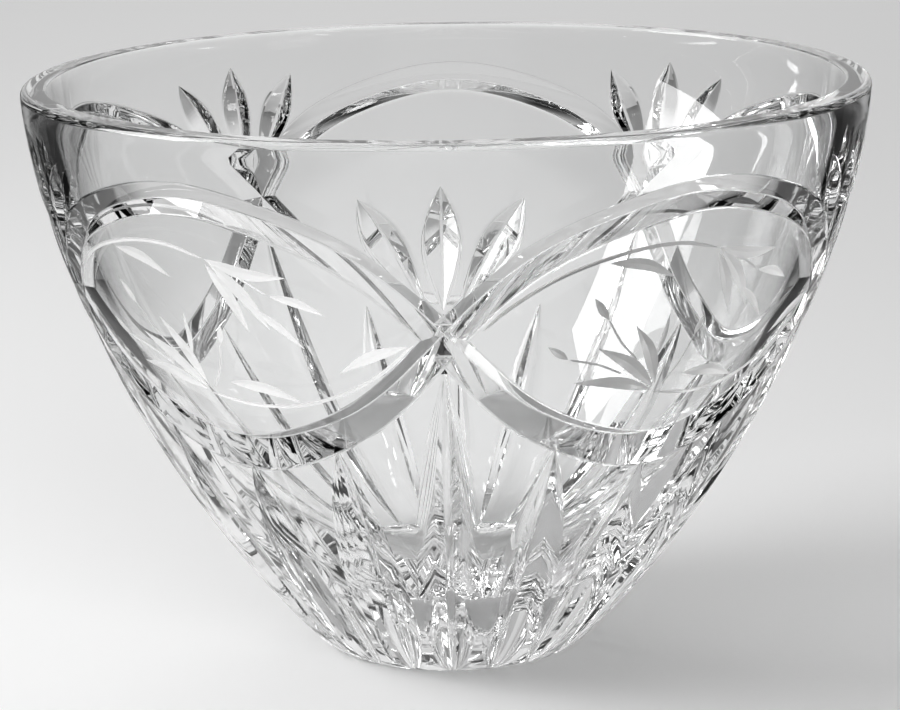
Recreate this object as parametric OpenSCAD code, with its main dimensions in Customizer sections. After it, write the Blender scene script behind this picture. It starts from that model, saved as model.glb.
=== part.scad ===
// Cut glass trifle bowl.
// One thick-walled piece of clear glass, egg-shaped in outline, on a small flat foot.
// Two V-cut bands wave round the belly and cross between five pointed ovals.
// A fan of three leaf cuts stands over every crossing, and long V-cut flutes rise from the foot.
// The origin is at the middle of the foot, on the table, and +Z is up. A crossing faces -Y.

/* [Glass body] */
// Outside diameter at the rim
rim_d = 203; // [170:1:250]
// Height from the table to the top of the rim
bowl_h = 139; // [120:1:175]
// Diameter of the flat foot
foot_d = 62; // [52:1:76]
// Thickness of the wall at the rim
wall = 6.4; // [5.6:0.1:9]
// Thickness of the glass under the middle of the inside
floor_t = 13; // [11:0.5:18]
// Fullness of the outside, where 1 is a straight cone
belly_power = 1.58; // [1.4:0.01:1.8]
// Roundness of the outside, where 1 leaves the foot at its steepest
belly_round = 0.86; // [0.8:0.01:1]
// Fullness of the inside
hollow_power = 1.45; // [1.35:0.01:1.6]
// Roundness of the inside, where less is a flatter floor
hollow_round = 0.5; // [0.45:0.01:0.56]

/* [Rim] */
// Width of the rounded outer edge of the rim
rim_round_w = 1.8; // [0.8:0.1:2.6]
// Height of the rounded outer edge of the rim
rim_round_h = 1.9; // [0.8:0.1:2.6]
// Width of the small bevel on the inner edge of the rim
lip_bevel = 0.8; // [0.4:0.1:1.6]

/* [Crossing bands] */
// Number of pointed ovals round the bowl
ovals = 5; // [4:1:6]
// Depth from the rim down to the crossings
crossing_drop = 45; // [40:0.5:50]
// Depth from the rim down to the top of the upper waves
crest_drop = 15.5; // [12:0.5:20]
// Depth from the rim down to the bottom of the lower waves
trough_drop = 75; // [70:0.5:80]
// Depth of the first groove at the crossings
band_depth = 3.2; // [2.4:0.1:3.8]
// How much deeper the grooves run at the lowest waves, and shallower at the highest
band_gain = 0.3; // [0:0.1:0.6]
// How much shallower the second groove runs, which crosses over the first
band_over = 0.3; // [0.1:0.05:0.6]
// Angle between the two faces of the groove
band_vee = 106; // [90:1:110]
// Lean of the grooves towards the foot at the lowest waves
low_lean = 10; // [0:1:12]
// Lean of the grooves towards the rim at the highest waves
high_lean = 4; // [0:1:12]
// Shape of the waves, where 1 is a sine and less is steeper at the crossings
wave_power = 0.8; // [0.75:0.01:1.1]

/* [Leaf fans] */
// Height of the fan's foot over the crossing
leaf_lift = 7; // [6:0.5:11]
// Height of the middle leaf from its foot to its tip
leaf_h = 29; // [24:0.5:30]
// How much lower the tips of the outer leaves stand
leaf_step = 2.8; // [0:0.1:5]
// Turn round the bowl from the tip of the middle leaf to the tip of an outer one
leaf_tip_turn = 10.2; // [8:0.1:13]
// Turn round the bowl from the foot of the middle leaf to the foot of an outer one
leaf_foot_turn = 2.4; // [1:0.1:4]
// Depth of a leaf
leaf_depth = 3.4; // [2:0.1:4]
// Angle between the two faces of a leaf
leaf_vee = 100; // [85:1:115]

/* [Flutes] */
// How far the longest flutes end below a crossing
flute_gap = 7; // [6.5:0.5:10]
// Height above the foot where a flute is deepest
flute_mid = 28; // [20:1:36]
// Depth of a flute at its deepest
flute_depth = 4.6; // [3:0.1:5.6]
// How far a flute runs in from the edge of the foot
flute_heel = 0.8; // [0.4:0.1:2]
// Angle between the two faces of a flute
flute_vee = 100; // [90:1:112]

/* [Hidden] */

rim_r = rim_d / 2;
foot_r = foot_d / 2;
hollow_r = rim_r - wall;
shoulder_h = bowl_h - rim_round_h;
crossing_h = bowl_h - crossing_drop;
crest_rise = crossing_drop - crest_drop;
trough_fall = trough_drop - crossing_drop;
sector = 360 / ovals;
front = -90;

// how far down its sector's lower wave each flute ends, from one crossing to the next
flute_shares = [0, 0.69, 0.89, 0.69];

// length of a V's faces, as a share of its depth, so that they come out of the glass
face_share = 3;
// how far a cut's ends run on, as a share of its depth
run_on_share = 0.9;
// small step of height at which the slope of the outside is taken
slope_share = 0.002;

// how closely the rings of the outside and the inside crowd towards the bottom, where 1 is evenly
outside_crowding = 1.2;
inside_crowding = 2;
outside_steps = 12;
inside_steps = 10;
round_steps = 3;
wave_steps = 12;
turn_steps = 80;
cut_steps = 10;

// radius of the outside, and of the inside, at a height
function outside_r(z) =
    foot_r + (rim_r - foot_r) * pow(1 - pow(1 - z / bowl_h, belly_power), belly_round);
function inside_r(z) =
    hollow_r * pow(1 - pow(1 - (z - floor_t) / (bowl_h - floor_t), hollow_power), hollow_round);

// direction out of the glass, the point on the outside, and the point below it in a groove
function unit(v) = v / norm(v);
function slope(z) =
    let (dz = bowl_h * slope_share)
    (outside_r(z + dz) - outside_r(z - dz)) / (dz + dz);
function outward(turn, z) = unit([cos(turn), sin(turn), -slope(z)]);
function skin(turn, z) = [outside_r(z) * cos(turn), outside_r(z) * sin(turn), z];
function sunk(turn, z, depth) = skin(turn, z) - depth * outward(turn, z);

// centre of the circle through three points
function centre(p, m, q) =
    let (a = m - p, b = q - p, ab = cross(a, b))
    p + cross((a * a) * b - (b * b) * a, ab) / (2 * (ab * ab));

// height of a band at a turn from a crossing, where first is 1 for the first band and -1 for the other
function wave(turn) = let (s = sin(turn * 180 / sector)) sign(s) * pow(abs(s), wave_power);
function wave_h(turn, first) =
    let (w = first * wave(turn))
    crossing_h + w * (w > 0 ? crest_rise : trough_fall);
function wave_skin(turn, first) = skin(turn, wave_h(turn, first));

// corners of the groove's V section at a turn: its valley and the ends of its two faces
function vee_corners(turn, step, first, depth) =
    let (
        z = wave_h(turn, first),
        w = first * wave(turn),
        deep = depth - band_gain * w,
        lean = -w * (w > 0 ? high_lean : low_lean),
        out = outward(turn, z),
        across = unit(cross(wave_skin(turn + step, first) - wave_skin(turn - step, first), out)),
        face = deep * face_share
    )
    [for (side = [0, 1, -1])
        let (open = lean + side * band_vee / 2)
        sunk(turn, z, deep) + abs(side) * face * (out * cos(open) + across * sin(open))];

// The glass before it is cut, turned round the axis: up the outside, over the rim, down the inside.
module blank() {
    outside = [for (i = [0 : outside_steps])
        let (z = shoulder_h * pow(i / outside_steps, outside_crowding)) [outside_r(z), z]];
    edge_r = outside_r(shoulder_h) - rim_round_w;
    edge = [for (i = [1 : round_steps])
        let (a = 90 * i / round_steps)
        [edge_r + rim_round_w * cos(a), shoulder_h + rim_round_h * sin(a)]];
    lip = [[hollow_r + lip_bevel, bowl_h]];
    inside = [for (i = [inside_steps : -1 : 0])
        let (z = floor_t + (bowl_h - lip_bevel - floor_t) * pow(i / inside_steps, inside_crowding))
        [inside_r(z), z]];
    // half a facet round, so that every upright cut runs down the middle of a facet
    rotate([0, 0, 180 / turn_steps])
        rotate_extrude($fn = turn_steps)
            polygon(concat([[0, 0]], outside, edge, lip, inside));
}

// One band: a V groove that waves round the whole bowl
module band(first, depth) {
    step = sector / wave_steps;
    for (i = [0 : ovals * wave_steps - 1])
        // from half a step before to half a step after, so that no joint lies on a crossing
        hull()
            polyhedron(
                points = concat(
                    vee_corners(i * step - step / 2, step, first, depth),
                    vee_corners(i * step + step / 2, step, first, depth)
                ),
                faces = [[0, 1, 2], [5, 4, 3]]
            );
}

// A V cut whose valley is the arc from p over m to q, and which opens in the direction out.
module vee_cut(p, m, q, out, depth, vee) {
    c = centre(p, m, q);
    radius = norm(m - c);
    x = unit(m - c);
    z = unit(cross(m - p, q - p));
    y = cross(z, x);
    run_on = atan2(depth * run_on_share, radius);
    from = -acos(x * unit(p - c)) - run_on;
    to = acos(x * unit(q - c)) + run_on;
    lean = atan2(out * z, out * x);
    face = depth * face_share;
    multmatrix([[x[0], y[0], z[0], c[0]], [x[1], y[1], z[1], c[1]], [x[2], y[2], z[2], c[2]]])
        rotate([0, 0, from])
            rotate_extrude(angle = to - from, $fn = cut_steps * 360 / (to - from))
                polygon([
                    [radius, 0],
                    [radius + face * cos(lean - vee / 2), face * sin(lean - vee / 2)],
                    [radius + face * cos(lean + vee / 2), face * sin(lean + vee / 2)]
                ]);
}

// Three leaves that spring from over a crossing
module leaf_fan() {
    foot_z = crossing_h + leaf_lift;
    for (i = [-1 : 1]) {
        tip_z = foot_z + leaf_h - abs(i) * leaf_step;
        mid_z = (foot_z + tip_z) / 2;
        mid_turn = i * (leaf_tip_turn + leaf_foot_turn) / 2;
        vee_cut(
            skin(i * leaf_foot_turn, foot_z),
            sunk(mid_turn, mid_z, leaf_depth),
            skin(i * leaf_tip_turn, tip_z),
            outward(mid_turn, mid_z), leaf_depth, leaf_vee
        );
    }
}

// A flute from its tip down through the edge of the foot
module flute(tip_z) {
    vee_cut(
        skin(0, tip_z),
        sunk(0, flute_mid, flute_depth),
        [foot_r - flute_heel, 0, 0],
        outward(0, flute_mid), flute_depth, flute_vee
    );
}

module bowl() {
    color([0.86, 0.9, 0.91])
        difference() {
            blank();
            rotate([0, 0, front]) {
                band(1, band_depth);
                band(-1, band_depth - band_over);
            }
            for (i = [0 : ovals - 1])
                rotate([0, 0, front + i * sector]) {
                    leaf_fan();
                    for (j = [0 : len(flute_shares) - 1])
                        rotate([0, 0, j * sector / len(flute_shares)])
                            flute(crossing_h - flute_gap - trough_fall * flute_shares[j]);
                }
        }
}

bowl();
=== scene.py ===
import math

import bpy
import numpy as np
from bpy.props import FloatProperty, FloatVectorProperty, IntProperty, PointerProperty
from bpy.types import Operator, Panel, PropertyGroup
from mathutils import Matrix, Vector


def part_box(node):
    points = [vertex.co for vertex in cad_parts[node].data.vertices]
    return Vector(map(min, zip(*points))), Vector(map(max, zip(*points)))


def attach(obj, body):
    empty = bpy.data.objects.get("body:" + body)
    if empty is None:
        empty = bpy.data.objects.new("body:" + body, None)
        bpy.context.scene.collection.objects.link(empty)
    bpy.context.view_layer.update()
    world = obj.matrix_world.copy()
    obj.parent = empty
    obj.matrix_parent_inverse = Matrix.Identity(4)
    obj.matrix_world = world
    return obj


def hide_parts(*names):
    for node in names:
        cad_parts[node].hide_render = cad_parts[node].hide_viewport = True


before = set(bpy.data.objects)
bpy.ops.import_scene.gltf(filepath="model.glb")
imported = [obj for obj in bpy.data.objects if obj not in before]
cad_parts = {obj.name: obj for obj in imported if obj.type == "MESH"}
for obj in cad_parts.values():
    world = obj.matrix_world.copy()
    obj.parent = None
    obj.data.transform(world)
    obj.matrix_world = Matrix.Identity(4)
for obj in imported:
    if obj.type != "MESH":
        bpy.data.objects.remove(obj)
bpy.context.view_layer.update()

bl_info = {
    "name": "Cut Glass Trifle Bowl",
    "version": (1, 0, 0),
    "blender": (4, 5, 0),
    "location": "3D View > Sidebar > Trifle Bowl",
    "description": "A thick cut glass bowl with crossing bands, leaf fans, flutes and engraved sprays",
    "category": "Object",
}

# The CAD model gives the height and the foot's plane.
LOW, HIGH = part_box("bowl")
FRONT = math.radians(-90)

# Rings of the blank, how closely they crowd towards the bottom, and faces round it.
RINGS_OUTSIDE, OUTSIDE_CROWDING = 72, 1.15
RINGS_INSIDE, INSIDE_CROWDING = 48, 2
CELLS = 240
# Small step of height at which the slope of the outside is taken, as a share of the height.
SLOPE_SHARE = 0.002

# Points along a band, a leaf, a flute and an engraved leaf, and for each given point of a stem.
BAND_POINTS, LEAF_POINTS, FLUTE_POINTS, ENGRAVED_POINTS, STEM_POINTS = 480, 34, 50, 22, 12
# How much steeper than a sine the bands' waves are at the crossings.
WAVE_STEEPNESS = 0.35
# How much higher the feet of the outer leaves stand, and where along its rib a leaf is deepest.
OUTER_FOOT_LIFT = 0.001
LEAF_PEAK, ENGRAVED_PEAK = 0.58, 0.45
# Ovals that are engraved, and how bluntly and how far past its ends a stem runs out, as a share of its length.
FRONT_OVALS, STEM_BLUNTNESS, STEM_RUN_ON, LEAF_RUN_ON = 2, 12, 0.02, 0.03
# How far a flute runs on past its ends, as a share of its depth.
RUN_ON_SHARE = 0.9

# A polished cut in metres: the deepest and the shortest face, how far its edges stand off the glass, and how
# far its cutter comes out. Then the shares of a face and of the softness that the rounding may take.
DEEPEST_FACE, SHORTEST_FACE, STAND_OFF, COME_OUT = 0.03, 0.00003, 0.00001, 0.0016
EDGE_SHARE, VALLEY_SHARE, VALLEY_SOFTNESS = 0.4, 0.3, 0.6
HALVINGS = 36
# An engraved cut: how far its cutter comes out, how much further its faces reach, and the least room
# between cuts that are taken out together.
ENGRAVED_OUT, ENGRAVED_REACH, LEAST_ROOM = 0.0006, 1.3, 0.0012

# A cut has lost the glass where it leaves less than this share of the faces.
LEAST_KEPT = 0.8
# A corner's direction counts as lost where it is shorter, or further from the face's, than these shares.
LOST_LENGTH, LOST_SIDE = 0.5, 0.3

# The floor that shows in the glass: where it turns from near to far, where its sides, painted dark as shade
# that shows only in the glass, begin and are full, and how much they open per metre behind the bowl, in metres.
# Then the colour of that painted shade, and the share of it that shows through the glass and not only in its
# reflections.
PALE_FLOOR, PAINTED_DARK_SIDES, PAINTED_DARK_OPENING = (0.1, 1.35), (0.14, 0.22), 0.13
PAINTED_DARK_FLOOR, DARK_THROUGH = (0.02, 0.02, 0.02, 1), 0.55
# The studio that shows in the glass: brightness of the backdrop, of the front, of the ceiling, and the share
# that is left at the sides. Then the ranges of direction over which they change.
BACKDROP, FRONT_WALL, CEILING, SIDE_WALL = 0.62, 0.16, 0.85, 0.02
WALL_SIDES, WALL_DEPTH, CEILING_RISE = (0.2, 0.48), (-0.5, 0.3), (0.45, 0.85)

# The spray that is engraved in both front ovals, as (turn from the oval's middle in degrees, height in mm).
# Stems: points along the line, and width in mm.
SPRAY_STEMS = [
    ([(-30.8, 96.1), (-27, 101.5), (-21.5, 107.2), (-15.7, 110.9), (-9, 113.2), (-3, 113.3), (3, 111)], 1.0),
    ([(32, 93.4), (27.1, 86.1), (20.9, 80.5), (13.2, 76.8), (5.1, 75.9), (-3, 77.5)], 1.0),
    ([(3, 111), (7.4, 107.8), (12, 103.6)], 0.6),
    ([(-7, 86), (-10.4, 91.2), (-12.9, 96.9)], 0.6),
    ([(-9, 83), (-13.4, 86.1), (-18.2, 88.1)], 0.6),
    ([(-1.5, 79), (0.9, 84.6), (2.2, 90.3)], 0.6),
]
# Leaves and buds: root, tip, width in mm, and how far the rib bows to the left, as a share of its length.
SPRAY_LEAVES = [
    ((3, 111), (15.3, 108), 3.2, -0.06),
    ((3.6, 110.4), (11.5, 95), 3.6, 0.05),
    ((3, 110), (8, 94), 3.4, 0.04),
    ((12, 103.6), (20, 99.5), 2.4, 0.05),
    ((8.5, 100.7), (16.3, 91), 2.2, 0.04),
    ((-14, 110.5), (-3.5, 105.3), 3.0, 0.08),
    ((-3, 78), (-17, 82.1), 3.3, -0.05),
    ((-3, 78.6), (-14, 90.3), 3.6, -0.05),
    ((-2.8, 79.4), (-8.6, 95.1), 3.6, -0.05),
    ((-4.1, 85.9), (-3.2, 97.2), 1.6, -0.04),
    ((-12.9, 96.9), (-15.5, 102.6), 2.2, 0.0),
    ((-18.2, 88.1), (-21.5, 91.7), 2.0, 0.0),
    ((2.2, 90.3), (3.2, 95.2), 1.8, 0.0),
    ((1.8, 81), (14, 77.6), 3.2, 0.06),
    ((31, 92.7), (20.7, 85.6), 3.0, -0.05),
]


class BlankSizes(PropertyGroup):
    """The glass before it is cut."""
    rim_d: FloatProperty(
        name="Rim", description="Outside diameter at the rim",
        default=0.203, min=0.15, max=0.3, unit="LENGTH")
    height: FloatProperty(
        name="Height", description="Height from the table to the top of the rim",
        default=HIGH[2] - LOW[2], min=0.1, max=0.2, unit="LENGTH")
    foot_d: FloatProperty(
        name="Foot", description="Diameter of the foot",
        default=0.062, min=0.04, max=0.09, unit="LENGTH")
    wall: FloatProperty(
        name="Wall", description="Thickness of the wall at the rim",
        default=0.0064, min=0.004, max=0.01, unit="LENGTH")
    floor_t: FloatProperty(
        name="Floor", description="Thickness of the glass under the middle of the inside",
        default=0.013, min=0.008, max=0.02, unit="LENGTH")
    belly_power: FloatProperty(
        name="Belly fullness", description="Fullness of the outside, where 1 is a straight cone",
        default=1.58, min=1.2, max=2)
    belly_round: FloatProperty(
        name="Belly roundness", description="Roundness of the outside near the foot",
        default=0.86, min=0.7, max=1)
    hollow_power: FloatProperty(
        name="Hollow fullness", description="Fullness of the inside",
        default=1.45, min=1.2, max=2)
    hollow_round: FloatProperty(
        name="Hollow roundness", description="Roundness of the inside, where less is a flatter floor",
        default=0.5, min=0.4, max=0.6)
    rim_round_w: FloatProperty(
        name="Rim edge width", description="Width of the rounded outer edge of the rim",
        default=0.0018, min=0.0005, max=0.003, unit="LENGTH")
    rim_round_h: FloatProperty(
        name="Rim edge height", description="Height of the rounded outer edge of the rim",
        default=0.0019, min=0.0005, max=0.003, unit="LENGTH")
    lip_round: FloatProperty(
        name="Lip", description="Rounding of the rim's inner edge",
        default=0.0008, min=0.0002, max=0.002, unit="LENGTH")


class CutSizes(PropertyGroup):
    """The polished cuts."""
    ovals: IntProperty(
        name="Ovals", description="Number of pointed ovals round the bowl", default=5, min=4, max=6)
    crossing_h: FloatProperty(
        name="Crossings", description="Height of the crossings of the two bands",
        default=0.094, min=0.07, max=0.11, unit="LENGTH")
    crest_rise: FloatProperty(
        name="Upper waves", description="Rise of the bands over a crossing",
        default=0.0296, min=0.01, max=0.04, unit="LENGTH")
    trough_fall: FloatProperty(
        name="Lower waves", description="Fall of the bands under a crossing",
        default=0.0298, min=0.01, max=0.04, unit="LENGTH")
    band_depth: FloatProperty(
        name="Band depth", description="Depth of the bands at the crossings", default=0.0032, min=0.001,
        max=0.005, unit="LENGTH")
    band_gain: FloatProperty(
        name="Band depth gained", description="How much deeper the bands are at the lowest waves",
        default=0.0003, min=0, max=0.001, unit="LENGTH")
    band_vee: FloatProperty(
        name="Band angle", description="Angle between the two faces of a band",
        default=math.radians(106), min=1, max=2.5, subtype="ANGLE", unit="ROTATION")
    low_lean: FloatProperty(
        name="Lean at the lower waves", description="Lean of the bands towards the foot at the lowest waves",
        default=math.radians(10), min=0, max=0.3, subtype="ANGLE", unit="ROTATION")
    high_lean: FloatProperty(
        name="Lean at the upper waves", description="Lean of the bands towards the rim at the highest waves",
        default=math.radians(4), min=0, max=0.3, subtype="ANGLE", unit="ROTATION")
    leaf_lift: FloatProperty(
        name="Leaf lift", description="Height of a leaf fan's foot over the crossing",
        default=0.007, min=0, max=0.02, unit="LENGTH")
    leaf_h: FloatProperty(
        name="Leaf height", description="Height of the middle leaf", default=0.029, min=0.01,
        max=0.04, unit="LENGTH")
    leaf_step: FloatProperty(
        name="Leaf step", description="How much lower the outer leaves' tips stand",
        default=0.003, min=0, max=0.01, unit="LENGTH")
    leaf_tip_turn: FloatProperty(
        name="Leaf spread", description="Turn from the middle leaf's tip to an outer leaf's tip",
        default=math.radians(10.3), min=0, max=0.4, subtype="ANGLE", unit="ROTATION")
    leaf_foot_turn: FloatProperty(
        name="Leaf foot spread", description="Turn from the middle leaf's foot to an outer leaf's foot",
        default=math.radians(2.3), min=0, max=0.2, subtype="ANGLE", unit="ROTATION")
    leaf_depth: FloatProperty(
        name="Leaf depth", description="Depth of a leaf", default=0.0025, min=0.001, max=0.005,
        unit="LENGTH")
    leaf_vee: FloatProperty(
        name="Leaf angle", description="Angle between the two faces of a leaf",
        default=math.radians(120), min=1, max=2.5, subtype="ANGLE", unit="ROTATION")
    flute_gap: FloatProperty(
        name="Flute gap", description="How far the longest flutes end below a crossing",
        default=0.007, min=0.002, max=0.012, unit="LENGTH")
    flute_mid: FloatProperty(
        name="Flute middle", description="Height at which a flute is deepest",
        default=0.028, min=0.02, max=0.04, unit="LENGTH")
    flute_depth: FloatProperty(
        name="Flute depth", description="Depth of a flute at its deepest",
        default=0.0046, min=0.002, max=0.006, unit="LENGTH")
    flute_heel: FloatProperty(
        name="Flute heel", description="How far a flute runs in from the edge of the foot",
        default=0.0008, min=0.0003, max=0.008, unit="LENGTH")
    flute_vee: FloatProperty(
        name="Flute angle", description="Angle between the two faces of a flute",
        default=math.radians(100), min=1, max=2.5, subtype="ANGLE", unit="ROTATION")
    band_soft: FloatProperty(
        name="Band rounding", description="How far the polish rounds the edges of a band",
        default=0.0005, min=0.0001, max=0.002, unit="LENGTH")
    leaf_soft: FloatProperty(
        name="Leaf rounding", description="How far the polish rounds the edges of a leaf",
        default=0.0008, min=0.0001, max=0.002, unit="LENGTH")
    flute_soft: FloatProperty(
        name="Flute rounding", description="How far the polish rounds the edges of a flute",
        default=0.0024, min=0.0001, max=0.004, unit="LENGTH")


class EngravingSizes(PropertyGroup):
    """The matt wheel engraving in the ovals."""
    leaf_vee: FloatProperty(
        name="Leaf angle", description="Angle between the two halves of an engraved leaf",
        default=math.radians(163), min=1.5, max=3, subtype="ANGLE", unit="ROTATION")
    stem_vee: FloatProperty(
        name="Stem angle", description="Angle between the two sides of an engraved line",
        default=math.radians(140), min=1, max=2.9, subtype="ANGLE", unit="ROTATION")


class GlassLooks(PropertyGroup):
    """The glass and its ground parts."""
    tint: FloatVectorProperty(
        name="Glass", description="Colour of the clear glass", subtype="COLOR", size=4,
        default=(0.985, 0.988, 0.988, 1), min=0, max=1)
    ior: FloatProperty(
        name="IOR", description="Index of refraction of the glass", default=1.54, min=1.4, max=1.7)
    ground: FloatVectorProperty(
        name="Engraving", description="Colour of the ground glass", subtype="COLOR", size=4,
        default=(0.97, 0.97, 0.97, 1), min=0, max=1)


class StageLooks(PropertyGroup):
    """The floor, the studio round it and the lamps."""
    near: FloatVectorProperty(
        name="Near floor", description="Colour of the floor round the bowl", subtype="COLOR", size=4,
        default=(0.93, 0.93, 0.93, 1), min=0, max=1)
    far: FloatVectorProperty(
        name="Far floor", description="Colour of the floor far from the bowl", subtype="COLOR", size=4,
        default=(0.9, 0.9, 0.9, 1), min=0, max=1)
    room: FloatProperty(
        name="Room light", description="Strength of the light from all round", default=0.31, min=0, max=2)
    lamp: FloatProperty(
        name="Main lamp", description="Power of the main lamp", default=10.5, min=0, max=200, unit="POWER")
    fill: FloatProperty(
        name="Fill lamp", description="Power of the lamp in front", default=18, min=0, max=200, unit="POWER")
    back: FloatProperty(
        name="Back lamp", description="Power of the lamp over the floor behind", default=4, min=0, max=200,
        unit="POWER")


class BowlSettings(PropertyGroup):
    """All sizes and looks of the bowl."""
    blank: PointerProperty(type=BlankSizes)
    cuts: PointerProperty(type=CutSizes)
    engraving: PointerProperty(type=EngravingSizes)
    looks: PointerProperty(type=GlassLooks)
    stage: PointerProperty(type=StageLooks)


# ---- The blank's shape ----

def unit(v):
    """Vectors of length 1, along the last axis."""
    v = np.asarray(v, float)
    return v / np.linalg.norm(v, axis=-1, keepdims=True)


def outside_r(b, z):
    """Radius of the outside at a height."""
    z = np.clip(z / b.height, 0, 1)
    share = (1 - (1 - z) ** b.belly_power) ** b.belly_round
    return b.foot_d / 2 + (b.rim_d - b.foot_d) / 2 * share


def inside_r(b, z):
    """Radius of the inside at a height."""
    z = np.clip((z - b.floor_t) / (b.height - b.floor_t), 0, 1)
    return (b.rim_d / 2 - b.wall) * (1 - (1 - z) ** b.hollow_power) ** b.hollow_round


def outward(b, turn, z):
    """Direction out of the glass at a turn and a height on the outside."""
    step = b.height * SLOPE_SHARE
    low, high = np.maximum(z - step, 0), np.minimum(z + step, b.height)
    slope = (outside_r(b, high) - outside_r(b, low)) / (high - low)
    return unit(np.stack(np.broadcast_arrays(np.cos(turn), np.sin(turn), -slope), axis=-1))


def skin(b, turn, z):
    """Point on the outside."""
    r = outside_r(b, z)
    return np.stack(np.broadcast_arrays(r * np.cos(turn), r * np.sin(turn), z), axis=-1)


def profile(b):
    """The blank's outline from the edge of the foot over the rim to just off the middle of the floor."""
    shoulder = b.height - b.rim_round_h
    z = shoulder * (np.arange(RINGS_OUTSIDE + 1) / RINGS_OUTSIDE) ** OUTSIDE_CROWDING
    outside = np.stack([outside_r(b, z), z], axis=1)
    a = np.radians(np.arange(15, 91, 15))
    edge = outside[-1, 0] - b.rim_round_w
    rim = np.stack([edge + b.rim_round_w * np.cos(a), shoulder + b.rim_round_h * np.sin(a)], axis=1)
    lip_r = b.rim_d / 2 - b.wall
    a = np.radians(np.arange(0, 90, 22.5))
    lip = np.stack([lip_r + b.lip_round * (1 - np.sin(a)),
                    b.height - b.lip_round * (1 - np.cos(a))], axis=1)
    flat = np.stack([np.linspace(edge, lip[0, 0], 4)[1:-1], np.full(2, b.height)], axis=1)
    share = (np.arange(RINGS_INSIDE, 0, -1) / RINGS_INSIDE) ** INSIDE_CROWDING
    z = b.floor_t + (b.height - b.lip_round - b.floor_t) * share
    inside = np.stack([inside_r(b, z), z], axis=1)
    return np.concatenate([outside, rim, flat, lip, inside])


def blank_mesh(b):
    """The glass before it is cut, as a closed mesh that carries its smooth directions."""
    line = profile(b)
    rings = len(line)
    along = np.gradient(line, axis=0)
    along[0] = line[1] - line[0]
    tilt = unit(np.stack([along[:, 1], -along[:, 0]], axis=1))
    turn = FRONT + (np.arange(CELLS) + 0.5) * 2 * math.pi / CELLS
    ring = np.stack([np.cos(turn), np.sin(turn)], axis=1)

    def turned(pairs):
        """Pairs of (radius, height) turned round the axis."""
        level = np.broadcast_to(pairs[:, None, 1:], (rings, CELLS, 1))
        return np.concatenate([pairs[:, None, :1] * ring[None], level], axis=2).reshape(-1, 3)

    points = np.concatenate([turned(line), [[0, 0, 0], [0, 0, b.floor_t]]])
    normals = np.concatenate([turned(tilt), [[0, 0, -1], [0, 0, 1]]])
    i, j = np.meshgrid(np.arange(rings - 1), np.arange(CELLS), indexing="ij")
    k = (j + 1) % CELLS
    low, high = i * CELLS, (i + 1) * CELLS
    wall = np.stack([low + j, low + k, high + k, high + j], axis=2).reshape(-1, 4)
    j = np.arange(CELLS)
    k = (j + 1) % CELLS
    last = (rings - 1) * CELLS
    foot = np.stack([k, j, np.full(CELLS, rings * CELLS)], axis=1)
    floor = np.stack([last + j, last + k, np.full(CELLS, rings * CELLS + 1)], axis=1)
    faces = wall.tolist() + foot.tolist() + floor.tolist()
    corners = [normals[f] for f in faces]
    down = np.array([0, 0, -1.0])
    for n in range(len(wall), len(wall) + CELLS):
        corners[n] = np.tile(down, (3, 1))
    return glass_mesh("blank", points, faces, np.concatenate(corners), fresh=False)


def glass_mesh(name, points, faces, normals, fresh):
    """A mesh with its smooth directions stored at the corners, and a mark on faces that a cut makes."""
    mesh = bpy.data.meshes.new(name)
    mesh.from_pydata(np.asarray(points).tolist(), [], [list(map(int, f)) for f in faces])
    kept = mesh.attributes.new("glass_normal", "FLOAT_VECTOR", "CORNER")
    kept.data.foreach_set("vector", np.asarray(normals, np.float32).ravel())
    mark = mesh.attributes.new("fresh_cut", "BOOLEAN", "FACE")
    mark.data.foreach_set("value", [fresh] * len(mesh.polygons))
    mesh.update()
    return mesh


# ---- Cutters: every cut has a V section that follows a path ----

def across_the_way(way, along):
    """Directions with their part along other directions taken out."""
    return unit(way - along * np.sum(way * along, axis=1, keepdims=True))


def cut_ways(valley, out, closed):
    """Directions along a cut, out of it and across it at each point of its valley."""
    if closed:
        along = unit(np.roll(valley, -1, 0) - np.roll(valley, 1, 0))
    else:
        along = unit(np.gradient(valley, axis=0))
    out = across_the_way(out, along)
    return along, out, np.cross(along, out)


def vee_cut(valley, out, vee, reach):
    """Points, faces and corner directions of one cutter whose valley follows the given points."""
    n = len(valley)
    along, out, across = cut_ways(valley, out, closed=False)
    c, s = math.cos(vee / 2), math.sin(vee / 2)
    points = np.stack([valley, valley + reach * (c * out - s * across),
                       valley + reach * (c * out + s * across)], axis=1).reshape(-1, 3)
    left, right = s * out + c * across, s * out - c * across
    faces, normals = [], []
    for i in range(n - 1):
        j, k, m = i + 1, 3 * i, 3 * i + 3
        faces += [(k, m, m + 2, k + 2), (k + 1, m + 1, m, k), (k + 2, m + 2, m + 1, k + 1)]
        normals += [right[i], right[j], right[j], right[i], left[i], left[j], left[j], left[i]] + [out[i]] * 4
    e = 3 * (n - 1)
    faces += [(0, 2, 1), (e, e + 1, e + 2)]
    normals += [along[0]] * 3 + [-along[-1]] * 3
    return points, faces, normals


def to_skin(b, start, way):
    """How far it is from each point to the outside, and 0 for a point that is outside already."""
    low, high = np.zeros(len(start)), np.full(len(start), DEEPEST_FACE)
    for _ in range(HALVINGS):
        half = (low + high) / 2
        p = start + half[:, None] * way
        inside = np.hypot(p[:, 0], p[:, 1]) < outside_r(b, p[:, 2])
        low, high = np.where(inside, half, low), np.where(inside, high, half)
    return low


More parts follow.
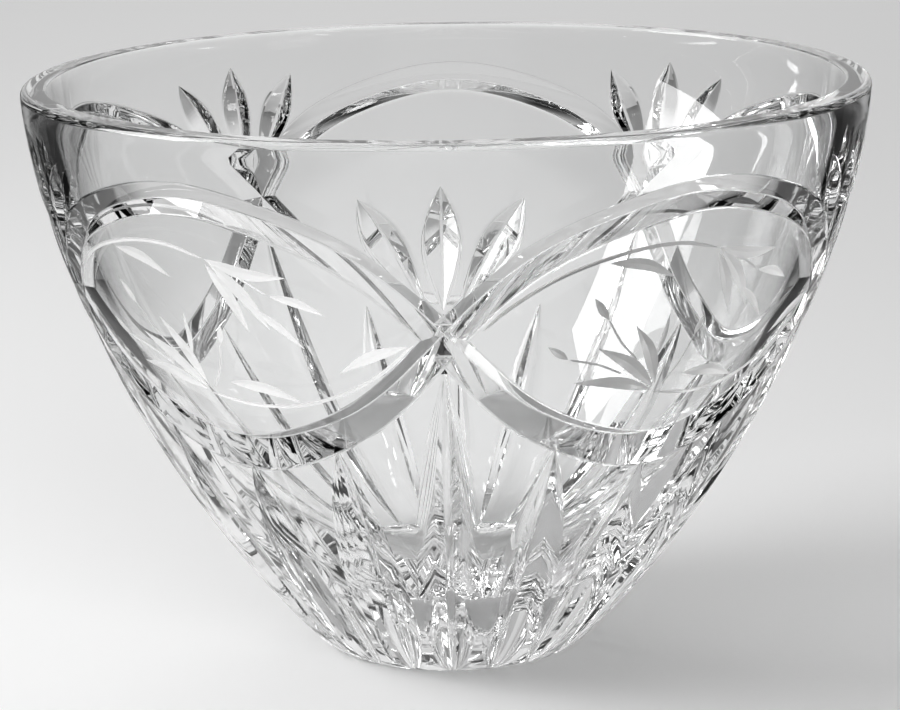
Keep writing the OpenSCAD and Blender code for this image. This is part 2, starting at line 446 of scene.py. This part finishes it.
def soft_vee(b, valley, out, vee, soft, closed=False, lean=0):
    """As vee_cut, with the rounded valley and edges that polishing leaves, and leaning to one side."""
    n = len(valley)
    _, out, across = cut_ways(valley, out, closed)
    lean = np.broadcast_to(lean, n)[:, None]
    out, across = out * np.cos(lean) + across * np.sin(lean), across * np.cos(lean) - out * np.sin(lean)
    c, s = math.cos(vee / 2), math.sin(vee / 2)
    sides = []
    for sign in (1, -1):
        arm = c * out + sign * s * across
        face = s * out - sign * c * across
        length = np.maximum(to_skin(b, valley, arm), SHORTEST_FACE)[:, None]
        edge = valley + length * arm
        up = outward(b, np.arctan2(edge[:, 1], edge[:, 0]), edge[:, 2])
        away = across_the_way(sign * across, up)
        ease = np.minimum(soft, EDGE_SHARE * length)
        start, end = edge - ease * arm, edge + ease * away + STAND_OFF * up
        sides.append([
            (valley + np.minimum(soft * VALLEY_SOFTNESS, VALLEY_SHARE * length) * arm, face),
            (start, face),
            (start * 4 / 9 + edge * 4 / 9 + end / 9, unit(face * 2 + up)),
            (start / 9 + edge * 4 / 9 + end * 4 / 9, unit(face + up * 2)),
            (end, up),
            (end + EDGE_SHARE * ease * away + COME_OUT * up, up),
        ])
    middle = (sides[0][0][0] + sides[1][0][0]) / 4 + valley / 2
    ring = [(middle, out)] + sides[0] + sides[1][::-1]
    m = len(ring)
    points = np.stack([p for p, _ in ring], axis=1).reshape(-1, 3)
    ways = np.stack([w for _, w in ring], axis=1).reshape(-1, 3)
    faces = []
    for i in range(n if closed else n - 1):
        k, l = m * i, m * ((i + 1) % n)
        for a in range(m):
            d = (a + 1) % m
            faces.append((k + a, l + a, l + d, k + d))
    if not closed:
        faces += [tuple(range(m)), tuple(range(m * n - 1, m * (n - 1) - 1, -1))]
    normals = [ways[v] for face in faces for v in face]
    return points, faces, normals


def cutter_mesh(name, cuts):
    """One mesh for cutters that stay clear of each other."""
    points, faces, normals, base = [], [], [], 0
    for p, f, n in cuts:
        points.append(p)
        faces += [tuple(base + v for v in face) for face in f]
        normals += n
        base += len(p)
    return glass_mesh(name, np.concatenate(points), faces, np.array(normals), fresh=True)


def bump(t, peak):
    """Depth of a leaf along its rib, 0 at both ends and 1 at the share peak."""
    lean = (peak - 0.5) / math.sin(math.pi * peak)
    return np.sin(math.pi * (t - lean * np.sin(math.pi * t)))


def smooth_path(points, t):
    """Points on a smooth line through the given ones, for shares t from one end to the other."""
    p = np.asarray(points, float)
    p = np.concatenate([[2 * p[0] - p[1]], p, [2 * p[-1] - p[-2]]])
    u = np.asarray(t) * (len(p) - 3)
    i = np.clip(np.floor(u).astype(int), 0, len(p) - 4)
    f = (u - i)[:, None]
    a, b, c, d = p[i], p[i + 1], p[i + 2], p[i + 3]
    return 0.5 * (2 * b + (c - a) * f + (2 * a - 5 * b + 4 * c - d) * f ** 2 + (3 * b - a - 3 * c + d) * f ** 3)


def stroke(b, points, depth, vee, steps, run_on=LEAF_RUN_ON, soft=0):
    """A cut along a line of (turn, height) on the outside, with a depth for each share of its length."""
    t = np.linspace(-run_on, 1 + run_on, steps)
    path = smooth_path(points, t)
    turn, z = FRONT + path[:, 0], path[:, 1]
    out = outward(b, turn, z)
    d = depth(t)
    valley = skin(b, turn, z) - d[:, None] * out
    if soft:
        return soft_vee(b, valley, out, vee, soft)
    return vee_cut(valley, out, vee, (d.max() + ENGRAVED_OUT) / math.cos(vee / 2) * ENGRAVED_REACH)


def arc_cut(b, p, m, q, out, depth, vee, steps, soft):
    """A cut whose valley is the arc from p over m to q, and which opens in the direction out."""
    a, d = m - p, q - p
    ab = np.cross(a, d)
    centre = p + np.cross(a.dot(a) * d - d.dot(d) * a, ab) / (2 * ab.dot(ab))
    radius = np.linalg.norm(m - centre)
    x, z = unit(m - centre), unit(np.cross(m - p, q - p))
    y = np.cross(z, x)
    run_on = math.atan2(depth * RUN_ON_SHARE, radius)
    start = -math.acos(x.dot(unit(p - centre))) - run_on
    end = math.acos(x.dot(unit(q - centre))) + run_on
    lean = math.atan2(out.dot(z), out.dot(x))
    turn = np.linspace(start, end, steps)[:, None]
    ray = x * np.cos(turn) + y * np.sin(turn)
    return soft_vee(b, centre + radius * ray, ray * math.cos(lean) + z * math.sin(lean), vee, soft)


def cut_tree():
    """The node tree that repeats a cutter round the axis and takes it out of the glass."""
    tree = bpy.data.node_groups.get("Cut round the axis")
    if tree:
        return tree
    tree = bpy.data.node_groups.new("Cut round the axis", "GeometryNodeTree")
    sockets = tree.interface
    sockets.new_socket("Glass", in_out="INPUT", socket_type="NodeSocketGeometry")
    sockets.new_socket("Cutter", in_out="INPUT", socket_type="NodeSocketObject")
    sockets.new_socket("Copies", in_out="INPUT", socket_type="NodeSocketInt")
    sockets.new_socket("Step", in_out="INPUT", socket_type="NodeSocketFloat")
    sockets.new_socket("Finish", in_out="INPUT", socket_type="NodeSocketMaterial")
    sockets.new_socket("Cut glass", in_out="OUTPUT", socket_type="NodeSocketGeometry")
    node, link = tree.nodes.new, tree.links.new
    given, result = node("NodeGroupInput"), node("NodeGroupOutput")
    cutter = node("GeometryNodeObjectInfo")
    link(given.outputs["Cutter"], cutter.inputs["Object"])
    places = node("GeometryNodeMeshLine")
    link(given.outputs["Copies"], places.inputs["Count"])
    places.inputs["Offset"].default_value = (0, 0, 0)
    index = node("GeometryNodeInputIndex")
    turn = node("ShaderNodeMath")
    turn.operation = "MULTIPLY"
    link(index.outputs[0], turn.inputs[0])
    link(given.outputs["Step"], turn.inputs[1])
    spin = node("FunctionNodeAxisAngleToRotation")
    spin.inputs["Axis"].default_value = (0, 0, 1)
    link(turn.outputs[0], spin.inputs["Angle"])
    copies = node("GeometryNodeInstanceOnPoints")
    link(places.outputs["Mesh"], copies.inputs["Points"])
    link(cutter.outputs["Geometry"], copies.inputs["Instance"])
    link(spin.outputs[0], copies.inputs["Rotation"])
    solid = node("GeometryNodeRealizeInstances")
    link(copies.outputs[0], solid.inputs[0])
    take = node("GeometryNodeMeshBoolean")
    take.operation, take.solver = "DIFFERENCE", "MANIFOLD"
    link(given.outputs["Glass"], take.inputs["Mesh 1"])
    link(solid.outputs[0], take.inputs["Mesh 2"])
    fresh = node("GeometryNodeInputNamedAttribute")
    fresh.data_type = "BOOLEAN"
    fresh.inputs["Name"].default_value = "fresh_cut"
    real = node("GeometryNodeRealizeInstances")
    link(take.outputs["Mesh"], real.inputs[0])
    finish = node("GeometryNodeSetMaterial")
    link(real.outputs[0], finish.inputs["Geometry"])
    link(fresh.outputs["Attribute"], finish.inputs["Selection"])
    link(given.outputs["Finish"], finish.inputs["Material"])
    link(finish.outputs[0], result.inputs[0])
    return tree


def take_out(name, cuts, copies, step, finish):
    """Repeat the cuts round the axis, take them out of the bowl and keep the result as a plain mesh."""
    glass = bpy.data.objects["cut_glass_bowl"]
    mesh = cutter_mesh(name, cuts)
    cutter = bpy.data.objects.new(name, mesh)
    bpy.context.scene.collection.objects.link(cutter)
    tree = cut_tree()
    modifier = glass.modifiers.new("cut", "NODES")
    modifier.node_group = tree
    values = {"Cutter": cutter, "Copies": copies, "Step": step, "Finish": finish}
    for item in tree.interface.items_tree:
        if item.in_out == "INPUT" and item.name in values:
            modifier[item.identifier] = values[item.name]
    graph = bpy.context.evaluated_depsgraph_get()
    done = bpy.data.meshes.new_from_object(
        glass.evaluated_get(graph), preserve_all_data_layers=True, depsgraph=graph)
    glass.modifiers.remove(modifier)
    if len(done.polygons) < LEAST_KEPT * len(glass.data.polygons) or "glass_normal" not in done.attributes:
        raise RuntimeError("the cut " + name + " lost the glass")
    mark = done.attributes["fresh_cut"]
    mark.data.foreach_set("value", [False] * len(done.polygons))
    old, glass.data = glass.data, done
    bpy.data.meshes.remove(old)
    bpy.data.objects.remove(cutter)
    bpy.data.meshes.remove(mesh)


def passes(cuts, copies):
    """Sort cuts into groups whose members stay clear of each other, also when they are repeated."""
    sector = 2 * math.pi / copies

    def near(a, b):
        """Whether points of one cut come close to points of another, here or in the next copy."""
        for turn in (-sector, 0, sector):
            c, s = math.cos(turn), math.sin(turn)
            q = b @ np.array([[c, s, 0], [-s, c, 0], [0, 0, 1]])
            if (np.linalg.norm(a[:, None] - q[None], axis=2) < LEAST_ROOM).any():
                return True
        return False

    groups = []
    for cut in cuts:
        fine = cut[0].reshape(-1, 3, 3)
        own = np.concatenate([fine[:, 0], (fine[:, 1] + fine[:, 0]) / 2, (fine[:, 2] + fine[:, 0]) / 2])
        for group in groups:
            if not any(near(own, other) for _, other in group):
                group.append((cut, own))
                break
        else:
            groups.append([(cut, own)])
    return [[cut for cut, _ in group] for group in groups]


# ---- Materials ----

def new_material(name):
    """A material with only a Principled shader, its links and its Object coordinates."""
    mat = bpy.data.materials.new(name)
    mat.use_nodes = True
    tree = mat.node_tree
    shader = tree.nodes["Principled BSDF"]
    place = tree.nodes.new("ShaderNodeTexCoord").outputs["Object"]
    return mat, tree, shader, place


def noise(tree, place, scale, detail, low, high):
    """A noise texture mapped to the range from low to high."""
    grain = tree.nodes.new("ShaderNodeTexNoise")
    tree.links.new(place, grain.inputs["Vector"])
    grain.inputs["Scale"].default_value = scale
    grain.inputs["Detail"].default_value = detail
    span = tree.nodes.new("ShaderNodeMapRange")
    tree.links.new(grain.outputs["Fac"], span.inputs["Value"])
    span.inputs["From Min"].default_value = 0.3
    span.inputs["From Max"].default_value = 0.7
    span.inputs["To Min"].default_value = low
    span.inputs["To Max"].default_value = high
    return span.outputs[0]


def bump_from(tree, height, shader, distance, strength):
    """Relief from a height."""
    relief = tree.nodes.new("ShaderNodeBump")
    tree.links.new(height, relief.inputs["Height"])
    relief.inputs["Distance"].default_value = distance
    relief.inputs["Strength"].default_value = strength
    tree.links.new(relief.outputs["Normal"], shader.inputs["Normal"])


def polished_glass(looks):
    """Clear polished crystal with the faint waves of a blown and acid-polished surface."""
    mat, tree, shader, place = new_material("polished glass")
    shader.inputs["Base Color"].default_value = looks.tint
    shader.inputs["Transmission Weight"].default_value = 1
    shader.inputs["IOR"].default_value = looks.ior
    rough = noise(tree, place, scale=60, detail=3, low=0.0, high=0.012)
    tree.links.new(rough, shader.inputs["Roughness"])
    waves = noise(tree, place, scale=45, detail=1, low=0, high=1)
    bump_from(tree, waves, shader, distance=0.0002, strength=0.05)
    return mat


def ground_glass(looks):
    """The matt surface that an engraving wheel leaves."""
    mat, tree, shader, place = new_material("ground glass")
    shader.inputs["Base Color"].default_value = looks.ground
    shader.inputs["Transmission Weight"].default_value = 0.5
    shader.inputs["IOR"].default_value = looks.ior
    rough = noise(tree, place, scale=2600, detail=3, low=0.14, high=0.26)
    tree.links.new(rough, shader.inputs["Roughness"])
    grains = noise(tree, place, scale=3600, detail=2, low=0, high=1)
    bump_from(tree, grains, shader, distance=0.00003, strength=0.5)
    return mat


# ---- Operators ----

class BOWL_OT_blank(Operator):
    """Blow the thick blank that the cuts are taken out of"""
    bl_idname = "trifle_bowl.blank"
    bl_label = "Glass blank"

    def execute(self, context):
        settings = context.scene.trifle_bowl
        mesh = blank_mesh(settings.blank)
        mesh.materials.append(polished_glass(settings.looks))
        glass = bpy.data.objects.new("cut_glass_bowl", mesh)
        context.scene.collection.objects.link(glass)
        return {"FINISHED"}


class BOWL_OT_bands(Operator):
    """Cut the two bands that wave round the bowl and cross between the ovals"""
    bl_idname = "trifle_bowl.bands"
    bl_label = "Crossing bands"

    def execute(self, context):
        settings = context.scene.trifle_bowl
        b, c = settings.blank, settings.cuts
        turn = np.arange(BAND_POINTS) * 2 * math.pi / BAND_POINTS
        wave = np.sin(turn * c.ovals / 2)
        wave *= 1 + WAVE_STEEPNESS * (1 - wave ** 2) ** 2
        for first in (1, -1):
            w = first * wave
            z = c.crossing_h + w * np.where(w > 0, c.crest_rise, c.trough_fall)
            out = outward(b, FRONT + turn, z)
            valley = skin(b, FRONT + turn, z) - (c.band_depth - c.band_gain * w)[:, None] * out
            lean = -w * np.where(w > 0, c.high_lean, c.low_lean)
            cut = soft_vee(b, valley, out, c.band_vee, c.band_soft, closed=True, lean=lean)
            take_out("band", [cut], 1, 0, glass_finish())
        return {"FINISHED"}


class BOWL_OT_leaves(Operator):
    """Cut a fan of three leaves over every crossing"""
    bl_idname = "trifle_bowl.leaves"
    bl_label = "Leaf fans"

    def execute(self, context):
        settings = context.scene.trifle_bowl
        b, c = settings.blank, settings.cuts
        foot = c.crossing_h + c.leaf_lift
        for side in (-1, 1, 0):
            tip = foot + c.leaf_h - abs(side) * c.leaf_step
            line = [(side * c.leaf_foot_turn, foot + abs(side) * OUTER_FOOT_LIFT),
                    (side * c.leaf_tip_turn, tip)]
            cut = stroke(b, line, lambda t: c.leaf_depth * bump(t, LEAF_PEAK), c.leaf_vee, LEAF_POINTS,
                         soft=c.leaf_soft)
            take_out("leaf", [cut], c.ovals, 2 * math.pi / c.ovals, glass_finish())
        return {"FINISHED"}


class BOWL_OT_flutes(Operator):
    """Cut the long flutes that rise from the foot"""
    bl_idname = "trifle_bowl.flutes"
    bl_label = "Flutes"

    def execute(self, context):
        settings = context.scene.trifle_bowl
        b, c = settings.blank, settings.cuts
        shares = (0, 0.69, 0.89, 0.69)
        for i, share in enumerate(shares):
            turn = FRONT + i * 2 * math.pi / c.ovals / len(shares)
            tip = c.crossing_h - c.flute_gap - c.trough_fall * share
            ray = np.array([math.cos(turn), math.sin(turn), 0])
            out = outward(b, turn, c.flute_mid)
            heel = ray * (b.foot_d / 2 - c.flute_heel)
            cut = arc_cut(b, skin(b, turn, tip), skin(b, turn, c.flute_mid) - c.flute_depth * out, heel,
                          out, c.flute_depth, c.flute_vee, FLUTE_POINTS, c.flute_soft)
            take_out("flute", [cut], c.ovals, 2 * math.pi / c.ovals, glass_finish())
        return {"FINISHED"}


class BOWL_OT_sprays(Operator):
    """Engrave a matt spray of leaves and buds in each of the two front ovals"""
    bl_idname = "trifle_bowl.sprays"
    bl_label = "Engraved sprays"

    def execute(self, context):
        settings = context.scene.trifle_bowl
        b, c, e = settings.blank, settings.cuts, settings.engraving
        finish = ground_glass(settings.looks)
        middle = -math.pi / c.ovals
        cuts = []
        for points, width in SPRAY_STEMS:
            line = [(middle + math.radians(turn), z / 1000) for turn, z in points]
            depth = width / 2000 / math.tan(e.stem_vee / 2)
            cuts.append(stroke(b, line, lambda t: depth * (1 - np.abs(2 * t - 1) ** STEM_BLUNTNESS), e.stem_vee,
                               STEM_POINTS * len(points), STEM_RUN_ON))
        for root, tip, width, bow in SPRAY_LEAVES:
            p = np.array([middle + math.radians(root[0]), root[1] / 1000])
            q = np.array([middle + math.radians(tip[0]), tip[1] / 1000])
            r = outside_r(b, (p[1] + q[1]) / 2)
            d = (q - p) * [r, 1]
            mid = (p + q) / 2 + bow * np.array([-d[1], d[0]]) / [r, 1]
            depth = width / 2000 / math.tan(e.leaf_vee / 2)
            cuts.append(stroke(b, [p, mid, q], lambda t: depth * bump(t, ENGRAVED_PEAK), e.leaf_vee,
                               ENGRAVED_POINTS))
        for group in passes(cuts, c.ovals):
            take_out("spray", group, FRONT_OVALS, 2 * math.pi / c.ovals, finish)
        return {"FINISHED"}


class BOWL_OT_polish(Operator):
    """Give the cut bowl its smooth directions and set it in the frame"""
    bl_idname = "trifle_bowl.polish"
    bl_label = "Polish"

    def execute(self, context):
        glass = bpy.data.objects["cut_glass_bowl"]
        mesh = glass.data
        smooth = np.empty(len(mesh.loops) * 3, np.float32)
        mesh.attributes["glass_normal"].data.foreach_get("vector", smooth)
        smooth = smooth.reshape(-1, 3)
        flat = np.empty(len(mesh.polygons) * 3, np.float32)
        mesh.polygons.foreach_get("normal", flat)
        count = np.empty(len(mesh.polygons), int)
        mesh.polygons.foreach_get("loop_total", count)
        flat = np.repeat(flat.reshape(-1, 3), count, axis=0)
        length = np.linalg.norm(smooth, axis=1)
        lost = (length < LOST_LENGTH) | (np.sum(smooth * flat, axis=1) < LOST_SIDE * length)
        smooth[lost] = flat[lost]
        smooth /= np.linalg.norm(smooth, axis=1, keepdims=True)
        mesh.attributes.remove(mesh.attributes["glass_normal"])
        mesh.attributes.remove(mesh.attributes["fresh_cut"])
        mesh.shade_smooth()
        mesh.normals_split_custom_set(smooth.tolist())
        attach(glass, "root")
        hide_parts("bowl")
        return {"FINISHED"}


class BOWL_OT_stage(Operator):
    """Set the pale floor, the soft lamps, the room and the camera"""
    bl_idname = "trifle_bowl.stage"
    bl_label = "Stage"

    def execute(self, context):
        looks = context.scene.trifle_bowl.stage
        scene = context.scene
        scene.view_settings.view_transform = "Standard"
        scene.cycles.max_bounces = 32
        scene.cycles.transmission_bounces = 32
        scene.cycles.glossy_bounces = 12
        floor_piece(scene, looks)
        room_light(scene, looks)
        lamp(scene, "main lamp", place=(-0.95, -0.06, 0.62), aim=(0, 0, 0.1), size=(0.6, 0.62),
             power=looks.lamp)
        fill = lamp(scene, "fill lamp", place=(0.75, -1.3, 0.22), aim=(0, 0, 0.08), size=(1, 0.36),
                    power=looks.fill)
        back = lamp(scene, "back lamp", place=(-0.1, 1.5, 1), aim=(0, 0.9, 0), size=(1.2, 0.8),
                    power=looks.back)
        for unseen in (fill, back):
            unseen.visible_glossy = unseen.visible_transmission = False
        photo_camera(scene)
        return {"FINISHED"}


def glass_finish():
    """The finish of the polished cuts."""
    return bpy.data.materials["polished glass"]


def floor_piece(scene, looks):
    """A round floor, pale near the bowl and greyer far from it, with its sides painted dark as shade where the
    glass reflects them or shows them through.
    """
    radius, rings, cells = 3.0, 6, 64
    # a hair below the foot, because two surfaces in one plane show as black patches in the glass
    under = -0.0004
    points, faces = [(0, 0, under)], []
    for i in range(1, rings + 1):
        for j in range(cells):
            a = 2 * math.pi * j / cells
            points.append((radius * i / rings * math.cos(a), radius * i / rings * math.sin(a), under))
    for j in range(cells):
        k = (j + 1) % cells
        faces.append((0, 1 + j, 1 + k))
        for i in range(rings - 1):
            a, c = 1 + i * cells, 1 + (i + 1) * cells
            faces.append((a + j, c + j, c + k, a + k))
    mesh = bpy.data.meshes.new("floor")
    mesh.from_pydata(points, [], faces)
    floor = bpy.data.objects.new("floor", mesh)
    scene.collection.objects.link(floor)
    mat, tree, shader, place = new_material("pale floor with painted dark sides")
    distance = tree.nodes.new("ShaderNodeVectorMath")
    distance.operation = "LENGTH"
    tree.links.new(place, distance.inputs[0])
    far = spread(tree, distance.outputs["Value"], *PALE_FLOOR, 0, 1)
    colour = mixed(tree, far, looks.near, looks.far)
    split = tree.nodes.new("ShaderNodeSeparateXYZ")
    tree.links.new(place, split.inputs[0])
    ahead = worked(tree, "MAXIMUM", split.outputs["Y"], 0)
    edge = worked(tree, "MULTIPLY", ahead, PAINTED_DARK_OPENING)
    aside = worked(tree, "SUBTRACT", worked(tree, "ABSOLUTE", split.outputs["X"]), edge)
    # painted shade: the floor's sides turn dark only for rays that come from the glass, standing in for a dark
    # studio at the sides
    painted_dark = worked(tree, "MULTIPLY", spread(tree, aside, *PAINTED_DARK_SIDES, 0, 1), dark_share(tree))
    colour = mixed(tree, painted_dark, colour, PAINTED_DARK_FLOOR)
    tree.links.new(colour, shader.inputs["Base Color"])
    shader.inputs["Roughness"].default_value = 0.9
    shader.inputs["Specular IOR Level"].default_value = 0.1
    mesh.materials.append(mat)


def spread(tree, value, low, high, start, end):
    """A value mapped softly from the range low to high onto the range start to end."""
    node = tree.nodes.new("ShaderNodeMapRange")
    node.interpolation_type = "SMOOTHSTEP"
    tree.links.new(value, node.inputs["Value"])
    for name, number in (("From Min", low), ("From Max", high), ("To Min", start), ("To Max", end)):
        node.inputs[name].default_value = number
    return node.outputs[0]


def worked(tree, operation, *values):
    """The result of a sum on values that are sockets or numbers."""
    node = tree.nodes.new("ShaderNodeMath")
    node.operation = operation
    for socket, value in zip(node.inputs, values):
        if isinstance(value, (int, float)):
            socket.default_value = value
        else:
            tree.links.new(value, socket)
    return node.outputs[0]


def mixed(tree, share, first, second):
    """A mix of two colours that are sockets or plain colours."""
    node = tree.nodes.new("ShaderNodeMix")
    node.data_type = "RGBA"
    tree.links.new(share, node.inputs["Factor"])
    for name, value in (("A", first), ("B", second)):
        socket = [s for s in node.inputs if s.name == name and s.type == "RGBA"][0]
        if isinstance(value, bpy.types.NodeSocket):
            tree.links.new(value, socket)
        else:
            socket.default_value = value
    return [s for s in node.outputs if s.type == "RGBA"][0]


def dark_share(tree):
    """How much of the dark studio, and of the floor's painted dark sides, shows: all in a reflection, some
    through the glass, none directly.
    """
    rays = tree.nodes.new("ShaderNodeLightPath").outputs
    through = worked(tree, "MULTIPLY", rays["Is Transmission Ray"], DARK_THROUGH)
    return worked(tree, "MAXIMUM", worked(tree, "MINIMUM", rays["Glossy Depth"], 1), through)


def room_light(scene, looks):
    """An even room, a pale backdrop, and the walls that the glass mirrors: pale behind, dark aside."""
    world = bpy.data.worlds.new("studio")
    scene.world = world
    world.use_nodes = True
    tree = world.node_tree
    plain = tree.nodes["Background"]
    plain.inputs["Color"].default_value = (1, 1, 1, 1)
    plain.inputs["Strength"].default_value = looks.room
    split = tree.nodes.new("ShaderNodeSeparateXYZ")
    tree.links.new(tree.nodes.new("ShaderNodeTexCoord").outputs["Generated"], split.inputs[0])
    side = spread(tree, worked(tree, "ABSOLUTE", split.outputs["X"]), *WALL_SIDES, 0, 1)
    front = spread(tree, split.outputs["Y"], *WALL_DEPTH, FRONT_WALL, BACKDROP)
    wall = worked(tree, "MULTIPLY", front, spread(tree, side, 0, 1, 1, SIDE_WALL))
    high = spread(tree, split.outputs["Z"], *CEILING_RISE, 0, 1)
    studio = worked(tree, "MAXIMUM", wall, worked(tree, "MULTIPLY", high, CEILING))
    change = worked(tree, "MULTIPLY", worked(tree, "SUBTRACT", studio, BACKDROP), dark_share(tree))
    walls = tree.nodes.new("ShaderNodeBackground")
    tree.links.new(worked(tree, "ADD", change, BACKDROP), walls.inputs["Color"])
    mix = tree.nodes.new("ShaderNodeMixShader")
    rays = tree.nodes.new("ShaderNodeLightPath").outputs
    tree.links.new(worked(tree, "SUBTRACT", 1, rays["Is Diffuse Ray"]), mix.inputs["Fac"])
    tree.links.new(plain.outputs[0], mix.inputs[1])
    tree.links.new(walls.outputs[0], mix.inputs[2])
    tree.links.new(mix.outputs[0], tree.nodes["World Output"].inputs["Surface"])


def lamp(scene, name, place, aim, size, power):
    """A softbox."""
    data = bpy.data.lights.new(name, "AREA")
    data.shape = "RECTANGLE"
    data.size, data.size_y = size
    data.energy = power
    obj = bpy.data.objects.new(name, data)
    scene.collection.objects.link(obj)
    obj.location = place
    obj.rotation_euler = (Vector(aim) - Vector(place)).to_track_quat("-Z", "Y").to_euler()
    return obj


def photo_camera(scene):
    """The camera that was fitted to the photograph, for a frame of 900 by 710."""
    focal_length_px, frame_px, sensor_mm = 3577, 900, 36
    data = bpy.data.cameras.new("camera")
    data.sensor_fit = "HORIZONTAL"
    data.sensor_width = sensor_mm
    data.lens = focal_length_px / frame_px * sensor_mm
    camera = bpy.data.objects.new("camera", data)
    scene.collection.objects.link(camera)
    turn, pitch, roll = math.radians(0.85), math.radians(12.7), math.radians(0.87)
    away, height = 0.85, 0.262
    flat = Vector((-math.sin(turn), math.cos(turn), 0))
    ahead = flat * math.cos(pitch) - Vector((0, 0, math.sin(pitch)))
    side = ahead.cross(Vector((0, 0, 1))).normalized()
    up = side.cross(ahead)
    x = side * math.cos(roll) - up * math.sin(roll)
    y = side * math.sin(roll) + up * math.cos(roll)
    matrix = Matrix((x, y, -ahead)).transposed().to_4x4()
    matrix.translation = -flat * away + Vector((0, 0, height))
    camera.matrix_world = matrix
    scene.camera = camera


class BOWL_PT_panel(Panel):
    """The bowl's sizes, looks and steps"""
    bl_label = "Trifle Bowl"
    bl_idname = "BOWL_PT_panel"
    bl_space_type = "VIEW_3D"
    bl_region_type = "UI"
    bl_category = "Trifle Bowl"

    def draw(self, context):
        settings = context.scene.trifle_bowl
        for group in (settings.blank, settings.cuts, settings.engraving, settings.looks, settings.stage):
            box = self.layout.box()
            for name in group.__annotations__:
                box.prop(group, name)
        for step in STEPS:
            self.layout.operator(step.bl_idname)


STEPS = (BOWL_OT_blank, BOWL_OT_bands, BOWL_OT_leaves, BOWL_OT_flutes, BOWL_OT_sprays, BOWL_OT_polish,
         BOWL_OT_stage)
CLASSES = (BlankSizes, CutSizes, EngravingSizes, GlassLooks, StageLooks, BowlSettings, *STEPS, BOWL_PT_panel)


def register():
    """Add the classes and the settings."""
    for cls in CLASSES:
        bpy.utils.register_class(cls)
    bpy.types.Scene.trifle_bowl = PointerProperty(type=BowlSettings)


def unregister():
    """Take the settings and the classes away again."""
    del bpy.types.Scene.trifle_bowl
    for cls in reversed(CLASSES):
        bpy.utils.unregister_class(cls)


def main():
    """Make the bowl and its stage."""
    register()
    bpy.ops.trifle_bowl.blank()
    bpy.ops.trifle_bowl.bands()
    bpy.ops.trifle_bowl.leaves()
    bpy.ops.trifle_bowl.flutes()
    bpy.ops.trifle_bowl.sprays()
    bpy.ops.trifle_bowl.polish()
    bpy.ops.trifle_bowl.stage()


if __name__ == "__main__":
    main()
